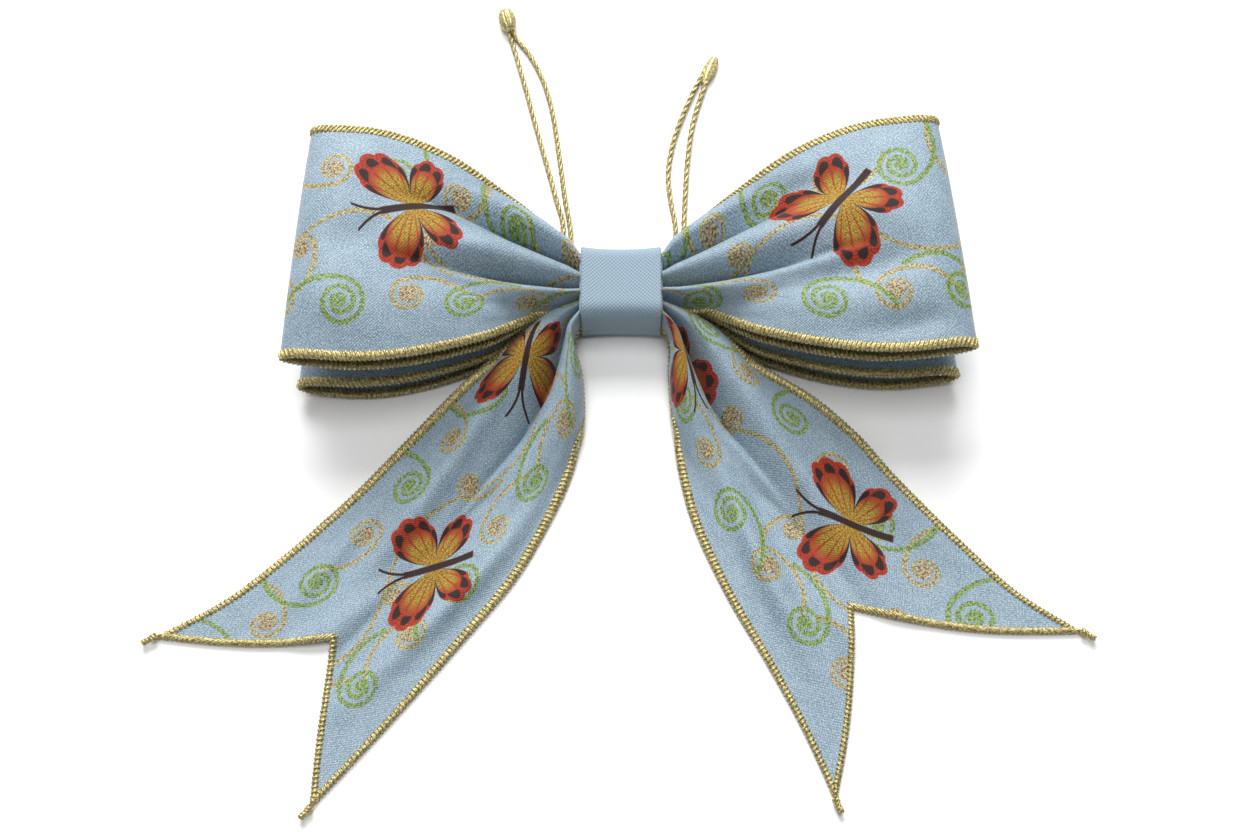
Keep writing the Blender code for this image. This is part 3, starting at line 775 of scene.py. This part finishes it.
EDGING_GOLD = metallic_thread("edging_gold", *YARNS["edging"], rough=0.34, scale=1.9)
CORD_GOLD = metallic_thread("cord_gold", *YARNS["cord"], rough=0.32, scale=1.8)
THREAD = plain_material("binding_thread", *YARNS["thread"], rough=0.7, scale=2.0)
GLUE = plain_material("hot_glue", *YARNS["glue"], rough=0.28, scale=0.6)
BAND_CLOTH = band_material()
RIBBON_BACK = back_material()


# --- ribbon grids
def loop_openness(distance):
    """How far the ribbon has opened from its gathers, from 0 to 1."""
    share = np.clip((distance - LOOP_GATHER_START) / LOOP_GATHER_LENGTH, 0, 1)
    return np.sin(math.pi / 2 * share) ** 1.1


def dent_field(along, flat, dents):
    """Height of soft elongated dents, on a grid of flat ribbon places."""
    total = np.zeros(np.broadcast(along, flat).shape)
    for centre, place, angle, length, width, depth in dents:
        turn = math.radians(angle)
        x, y = along - centre, flat - place
        down = (x * math.cos(turn) + y * math.sin(turn)) / length
        wide = (y * math.cos(turn) - x * math.sin(turn)) / width
        total = total - depth * np.exp(-down ** 2 - wide ** 2)
    return total


def loop_grid(layer, side, profile):
    """Grid of one loop's cloth and its flat coordinates, both in millimetres."""
    path = smooth_path(profile, GRID_STEP)
    travelled = lengths_along(path)
    u, z = path[:, :1], path[:, 1:]
    turning = float(np.argmax(path[:, 0])) / len(path)
    rows = np.linspace(0, 1, len(path))[:, None]
    outbound = fade(rows, turning - LOOP_TURN_SHARE, turning + LOOP_TURN_SHARE)
    flat = np.linspace(0, RIBBON_WIDTH, int(RIBBON_WIDTH / COLUMN_STEP) + 1)
    basis = spline_basis([k[0] for k in LOOP_FOLDS], flat)

    openness = loop_openness(u)
    half = LOOP_WAIST_HALF_WIDTH + (LOOP_HALF_WIDTH - LOOP_WAIST_HALF_WIDTH) * openness
    depth = RETURN_DEPTH[layer] + (LAYER_DEPTH[layer] - RETURN_DEPTH[layer]) * outbound
    sharp = fade(u, LOOP_CREASE_START, LOOP_CREASE_REACH)
    across_knots, height_knots = [], []
    for place, gathered, rise, reach, crease in LOOP_FOLDS:
        hold = fade(u, LOOP_HOLD_START, reach)
        deep = fade(u, LOOP_FOLD_START, reach)
        spread = 1 - 2 * place / RIBBON_WIDTH
        squeeze = gathered / LOOP_WAIST_HALF_WIDTH
        across_knots.append(half * (spread + (squeeze - spread) * hold))
        height_knots.append((rise * deep + crease * sharp) * depth)
    across = np.hstack(across_knots) @ basis.T
    height = z + np.hstack(height_knots) @ basis.T
    inside = fade(u, *BAND_MOUTH)
    upper, lower = SQUEEZE_IN_BAND
    across = across * (1 - np.where(across > 0, upper, lower) * inside)
    height = height - (height - z) * FLATTEN_IN_BAND * inside

    height = height + dent_field(u, flat[None], LOOP_DENTS[side]) * (outbound * DENT_SHARE[layer])
    spread = 1 - 2 * flat[None] / RIBBON_WIDTH
    height = height + LOOP_BULGE[layer] * (0.5 - spread ** 2) * outbound * openness
    tilt = math.radians(LOOP_TILT[side])
    reach = u * LOOP_REACH[side]
    x = reach * math.cos(tilt) - across * math.sin(tilt)
    y = reach * math.sin(tilt) + across * math.cos(tilt)
    grid = np.stack([SIDES[side] * x, y, height], -1)
    uv = np.stack([np.broadcast_to(travelled[:, None], across.shape),
                   np.broadcast_to(RIBBON_WIDTH / 2 - flat, across.shape)], -1)
    return grid, uv


def tail_edges(side):
    """Outer and inner edge of a tail, as evenly spaced rows from share 0 to 1."""
    edges = []
    for ribs in zip(*TAIL_RIBS[side]):
        points = smooth_path(lifted(ribs, TAIL_REST_HEIGHT), TAIL_EDGE_STEP)
        places = np.linspace(0, 1, len(points))
        edges.append(resample(points, places, np.linspace(0, 1, TAIL_EDGE_ROWS)))
    return edges


def notch_limit(side, across):
    """How far down the tail its cloth reaches, at places across it from -1 to 1."""
    apex = NOTCH_ACROSS[side]
    reach = np.where(across > apex, 1 - apex, 1 + apex)
    return NOTCH_SHARE[side] + (1 - NOTCH_SHARE[side]) * np.abs(across - apex) / reach


def tail_grid(side):
    """Grid of one tail's cloth and its flat coordinates, both in millimetres."""
    outer, inner = tail_edges(side)
    length = lengths_along((outer + inner) / 2)[-1]
    first = TAIL_START / length
    flat = np.linspace(0, RIBBON_WIDTH, int(RIBBON_WIDTH / COLUMN_STEP) + 1)
    limit = notch_limit(side, flat / RIBBON_WIDTH * 2 - 1)[None]
    rows = np.linspace(0, 1, int(length / GRID_STEP))[:, None]
    squeeze = np.clip((rows - NOTCH_ROWS_START) / (1 - NOTCH_ROWS_START), 0, 1)
    share = first + rows * (1 - first) - (1 - limit) * squeeze
    basis = spline_basis([k[0] for k in TAIL_FOLDS], flat)

    across, height = np.zeros(share.shape), np.zeros(share.shape)
    shallow = 0.5 + 0.5 * (1 - fade(share, 0.0, TAIL_CREASE_START))
    sharp = fade(share, TAIL_CREASE_START, TAIL_CREASE_REACH)
    for j, (place, folded, rise, reach, crease) in enumerate(TAIL_FOLDS):
        hold = fade(share, TAIL_HOLD_START, reach)
        open_place = place / RIBBON_WIDTH * 2 - 1
        across += basis[None, :, j] * (open_place + (folded - open_place) * hold)
        height += basis[None, :, j] * (rise * hold + crease * sharp) * (shallow if rise < 0 else 1.0)

    held = np.clip(share, 0, 1)
    places = np.linspace(0, 1, len(outer))
    a, b = resample(outer, places, held), resample(inner, places, held)
    grid = a + (b - a) * (across[..., None] + 1) / 2
    grid[..., 0] += SIDES[side] * np.minimum(share, 0) * length
    grid[..., 1] *= 1 - TAIL_NARROWING * np.clip(share / first, 0, 1)
    dents = [(centre * length, place, *rest) for centre, place, *rest in TAIL_DENTS[side]]
    lifted_by = height + dent_field(share * length, flat[None], dents)
    over_loops = np.clip((CLEARANCE_ACROSS - across) / CLEARANCE_BLEND, 0, 1)
    lowest = CLOTH_THICKNESS + TAIL_CLEARANCE * (fade(share, *CLEARANCE_FADE) * over_loops)
    grid[..., 2] = np.maximum(grid[..., 2] + lifted_by, lowest)
    uv = np.stack([share * length, np.broadcast_to(RIBBON_WIDTH / 2 - flat, share.shape)], -1)
    return grid, uv


def butterfly_places(grid, uv, wanted):
    """Where butterflies sit and head on the flat ribbon, from places in the frame."""
    flat = uv.reshape(-1, 2)
    found = []
    for targets in wanted:
        gaps = [np.linalg.norm(grid[..., :2] - np.array(target), axis=-1) for target in targets]
        centre, ahead = (flat[int(np.argmin(gap))] for gap in gaps)
        way = ahead - centre
        found.append((tuple(map(float, centre)), math.degrees(math.atan2(way[1], way[0]))))
    return found


# --- stitching
def overlock(edge, inward, normal):
    """Points and faces of thread wound round a ribbon's edge, over a flat core."""
    lengths = lengths_along(edge)
    count = int(round(lengths[-1] / STITCH_PITCH))
    goals = np.linspace(0, lengths[-1], count * STITCH_POINTS + 1)

    def at(values):
        return resample(values, lengths, goals)

    line, into, up = at(edge), unit(at(inward)), unit(at(normal))
    along = unit(np.gradient(line, axis=0))
    angle = (goals / lengths[-1] * count * math.tau)[:, None]
    half = STITCH_REACH / 2
    centre = line + into * (half - THREAD_RADIUS)
    radial = -into * np.cos(angle) * (half - THREAD_RADIUS) + up * np.sin(angle) * STITCH_RISE
    outward = -into * np.cos(angle) * STITCH_RISE + up * np.sin(angle) * half
    thread = centre + radial - along * np.cos(angle) * STITCH_LEAN
    wound = tube(thread, THREAD_RADIUS, THREAD_SIDES, outward)

    some = slice(None, None, STITCH_POINTS // 2)
    angles = np.linspace(0, math.tau, CORE_SIDES, endpoint=False)[None, :, None]
    ring = (np.cos(angles) * into[some][:, None] * (half - CORE_INSET)
            + np.sin(angles) * up[some][:, None] * CORE_HALF_HEIGHT)
    core = (centre[some][:, None] + ring).reshape(-1, 3)
    faces = [[face[0], *face[:0:-1]] for face in ring_faces(len(ring), CORE_SIDES)]
    return join([wound, (core, faces)])


def edge_of(grid, column, facing):
    """Edge line of a grid, the direction into the cloth, and the printed side's normal."""
    step = 1 if column == 0 else -1
    line = grid[:, column]
    inward = unit(grid[:, column + 3 * step] - line)
    normal = np.cross(np.gradient(grid, axis=0), np.gradient(grid, axis=1))[:, column + step]
    return line, inward, unit(normal) * facing


def stand_in(piece, node):
    """The piece takes a CAD node's place, and the node is hidden."""
    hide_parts(node)
    return piece


def edge_trim(name, label, line, inward, normal):
    """The stitching along one edge of a ribbon."""
    points, faces = overlock(line, inward, normal)
    trim = make_object("stitches_" + name + "_" + label, points, faces, [EDGING_GOLD])
    return stand_in(trim, name + "_" + label + "_edging")


def tip_thread(name, tip, along):
    """The overlock thread's cut end, twisted, past the tip of a tail."""
    goals = np.linspace(0, 1, 60)[:, None]
    side = np.cross([0, 0, 1], along)
    swell = 1.20 - 0.45 * goals + 0.18 * np.sin(goals * 9.0)
    centre = tip + along * (goals * TIP_THREAD_LENGTH - TIP_THREAD_OVERLAP)
    parts = []
    for start in (0.0, math.tau / 3, 2 * math.tau / 3):
        angle = start + goals * TIP_THREAD_LENGTH / TIP_THREAD_TWIST * math.tau
        radial = side * np.cos(angle) + np.array([0, 0, 1]) * np.sin(angle)
        parts.append(tube(centre + radial * swell * 0.5, TIP_PLY_RADIUS, THREAD_SIDES, radial))
    points, faces = join(parts)
    points[:, 2] += TIP_THREAD_LIFT - min(points[:, 2].min(), 0)
    return make_object(name, points, faces, [EDGING_GOLD])


# --- pieces
def printed_ribbon(name, grid, uv, facing, places, phase):
    """One ribbon's printed cloth, in place of its CAD node."""
    material = printed_material(name + "_print", places, phase)
    piece = cloth("cloth_" + name, grid, uv, facing, [material, RIBBON_BACK])
    return stand_in(piece, name)


def hinge(things):
    """Bakes each piece's placement into its mesh."""
    for thing in things:
        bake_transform(thing)


def build_loops(layer, profile):
    """One layer of loops, each with its edge stitching."""
    for side, sign in SIDES.items():
        grid, uv = loop_grid(layer, side, profile)
        name = layer + "_" + side + "_loop"
        places = REAR_BUTTERFLIES
        if layer == "front":
            near = len(grid) // 2
            places = butterfly_places(grid[:near], uv[:near], BUTTERFLIES[side + "_loop"])
        piece = printed_ribbon(name, grid, uv, -sign, places, PRINT_PHASE[side + "_loop"])
        trims = [edge_trim(name, label, *edge_of(grid, column, -sign))
                 for label, column in (("top", 0), ("bottom", -1))]
        hinge([piece] + trims)


def build_tails():
    """Two swallow-tailed ribbons, each with its edge stitching and thread ends."""
    for side, sign in SIDES.items():
        grid, uv = tail_grid(side)
        name = side + "_tail"
        places = butterfly_places(grid, uv, BUTTERFLIES[name])
        piece = printed_ribbon(name, grid, uv, -sign, places, PRINT_PHASE[name])
        trims = []
        for label, column in (("outer", 0), ("inner", -1)):
            line, inward, normal = edge_of(grid, column, -sign)
            trims.append(edge_trim(name, label, line, inward, normal))
            nub = tip_thread("tip_" + name + "_" + label, line[-1], unit(line[-1] - line[-8]))
            trims.append(stand_in(nub, name + "_" + label + "_tip_thread"))
        line = grid[-1]
        upright = np.tile([0.0, 0.0, 1.0], (len(line), 1))
        trims.append(edge_trim(name, "notch", line, unit(grid[-5] - line), upright))
        hinge([piece] + trims)


def band_outline(half, low, high, radius):
    """Evenly spaced points round the band, a rounded rectangle in Y and Z."""
    corners = [(half - radius, low + radius, -90), (half - radius, high - radius, 0),
               (-half + radius, high - radius, 90), (-half + radius, low + radius, 180)]
    points = []
    for y, z, start in corners:
        for k in range(BAND_CORNER_STEPS + 1):
            angle = math.radians(start + 90 * k / BAND_CORNER_STEPS)
            points.append((y + radius * math.cos(angle), z + radius * math.sin(angle)))
    return respace(np.array(points + points[:1]), BAND_STEP)[:-1]


def band_stations():
    """(x, distance inwards) along the outside, round a hem, back inside, round a hem."""
    hem = BAND_WALL / 2
    flat = BAND_HALF_LENGTH - hem
    turns = [math.pi * k / 6 for k in range(1, 7)]
    outside = [(BAND_HALF_LENGTH * BAND_FLAT_SHARE * k / 14, 0.0) for k in range(-14, 15)]
    right = [(flat + hem * math.sin(turn), hem * (1 - math.cos(turn))) for turn in turns]
    inside = [(flat * k / 5, BAND_WALL) for k in range(5, -6, -1)]
    left = [(-flat - hem * math.sin(turn), hem * (1 + math.cos(turn))) for turn in turns[:-1]]
    return outside + right + inside + left


def build_band():
    """Folded cloth band, its edges turned in at both mouths."""
    stations = band_stations()
    rows, uvs = [], []
    travelled = 0.0
    count = None
    for spot, (x, inset) in enumerate(stations):
        nip = BAND_NIP * (1 - (x / BAND_HALF_LENGTH) ** 2)
        half = BAND_HALF_HEIGHT - nip - inset
        outline = band_outline(half, inset, BAND_DEPTH - nip - inset, BAND_CORNER - inset)
        if count is None:
            count = len(outline)
        closed = np.vstack([outline, outline[:1]])
        lengths = lengths_along(closed)
        goals = np.linspace(0, lengths[-1], count, endpoint=False)
        rows.append(np.column_stack([np.full(count, x), resample(closed, lengths, goals)]))
        if spot:
            travelled += math.hypot(x - stations[spot - 1][0], inset - stations[spot - 1][1])
        uvs.append(np.column_stack([np.full(count, travelled), goals]))
    points = np.concatenate(rows)
    index = np.arange(len(points)).reshape(len(rows), count)
    after = np.roll(index, -1, axis=0)
    faces = np.stack([index, after, np.roll(after, -1, axis=1), np.roll(index, -1, axis=1)], -1)
    band = make_object("band_of_cloth", points, faces.reshape(-1, 4)[:, ::-1], [BAND_CLOTH])
    add_uv(band, np.concatenate(uvs))
    stand_in(band, "knot_band")
    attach(band, "knot")


def cord_mesh(path):
    """Two plies of metallic yarn twisted together along a path."""
    tangent = unit(np.gradient(path, axis=0))
    side = unit(np.cross([0.0, 0.0, 1.0], tangent))
    up = np.cross(tangent, side)
    turn = (lengths_along(path) / CORD_TWIST * math.tau)[:, None]
    parts = []
    for start in (0.0, math.pi):
        radial = side * np.cos(turn + start) + up * np.sin(turn + start)
        parts.append(tube(path + radial * CORD_PLY_OFFSET, CORD_PLY_RADIUS, CORD_SIDES, radial))
    return join(parts)


def bead_mesh(centre, along, sizes, ridges):
    """A rounded end with fine lengthwise ridges of yarn."""
    along = unit(np.array(along, float))
    across = unit(np.cross([0.0, 0.0, 1.0], along))
    up = np.cross(along, across)
    around = np.linspace(0, math.tau, BEAD_SIDES, endpoint=False)
    rows = []
    for k in range(1, BEAD_RINGS):
        angle = math.pi * k / BEAD_RINGS
        size = math.sin(angle) ** 0.8
        ripple = size * (1 + BEAD_RIPPLE * np.sin(ridges * around + 1.5 * k / BEAD_RINGS))
        middle = np.array(centre) - along * sizes[0] * math.cos(angle)
        rows.append(middle + np.outer(np.cos(around) * ripple, across) * sizes[1]
                    + np.outer(np.sin(around) * ripple, up) * sizes[2])
    return np.concatenate(rows), ring_faces(len(rows), BEAD_SIDES)


def build_cords():
    """Two folded cords, each of two strands that meet in a rounded end."""
    ends = {}
    for side, (node, centre, along, sizes, ridges) in CORD_TIPS.items():
        points, faces = bead_mesh(centre, along, sizes, ridges)
        ends[side] = make_object("yarn_" + node, points, faces, [CORD_GOLD])
        stand_in(ends[side], node)
        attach(ends[side], side + "_cord_lobe")
    for name, route in CORD_ROUTES.items():
        side = name.split("_")[0]
        path = smooth_path(lifted(route, CORD_REST_HEIGHT), CORD_STEP)
        points, faces = cord_mesh(path)
        strand = make_object("yarn_" + name, points, faces, [CORD_GOLD])
        stand_in(strand, name)
        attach(strand, side + "_cord_lobe")


def dress_hidden_parts():
    """Materials for the CAD pieces that stay in view or inside the band."""
    looks = {"glue_pad": GLUE, "binding_thread": THREAD, "rear_cord_upper_strand": CORD_GOLD,
             "rear_cord_lower_strand": CORD_GOLD}
    waist = plain_material("waist_cloth", RIBBON_BLUE, RIBBON_PALE, 0.6, 1.5)
    for name in ("front_ribbon_waist", "tail_ribbon_waist", "rear_ribbon_waist"):
        looks[name] = waist
    for name, material in looks.items():
        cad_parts[name].data.materials.clear()
        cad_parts[name].data.materials.append(material)


# --- floor, light, camera
def build_stage():
    """Pale floor and soft studio light."""
    reach = FLOOR_HALF_WIDTH
    corners = [(x, y, FLOOR_HEIGHT) for x, y in ((-reach, -reach), (reach, -reach),
                                                 (reach, reach), (-reach, reach))]
    floor = make_object("floor", corners, [(0, 1, 2, 3)], [])
    material, r, shader = new_material("pale_floor")
    r.fill(shader, {"Base Color": FLOOR_GREY, "Roughness": 0.9})
    floor.data.materials.append(material)

    bpy.context.scene.view_settings.view_transform = "Standard"
    world = bpy.data.worlds.new("studio")
    world.use_nodes = True
    world.node_tree.nodes["Background"].inputs["Color"].default_value = (1, 1, 1, 1)
    world.node_tree.nodes["Background"].inputs["Strength"].default_value = SKY_STRENGTH
    bpy.context.scene.world = world
    for name, place, size, power in LAMPS:
        light = bpy.data.lights.new(name, "AREA")
        light.size = size
        light.energy = power
        lamp = bpy.data.objects.new(name, light)
        lamp.location = place
        lamp.rotation_euler = (-Vector(place)).to_track_quat("-Z", "Y").to_euler()
        bpy.context.scene.collection.objects.link(lamp)


def build_camera():
    """Looks down on the bow from its tails' side."""
    elevation = math.radians(CAMERA_ELEVATION)
    target = Vector(CAMERA_TARGET) * MM
    lens = bpy.data.cameras.new("camera")
    lens.lens = CAMERA_LENS
    lens.sensor_width = 36.0
    lens.clip_start = 0.01
    camera = bpy.data.objects.new("camera", lens)
    away = Vector((0, -math.cos(elevation), math.sin(elevation)))
    camera.location = target + away * CAMERA_DISTANCE * MM
    camera.rotation_euler = (-away).to_track_quat("-Z", "Y").to_euler()
    bpy.context.scene.collection.objects.link(camera)
    bpy.context.scene.camera = camera


build_camera()
build_cords()
build_stage()
build_band()
build_loops("front", FRONT_PROFILE)
build_loops("rear", REAR_PROFILE)
build_tails()
dress_hidden_parts()
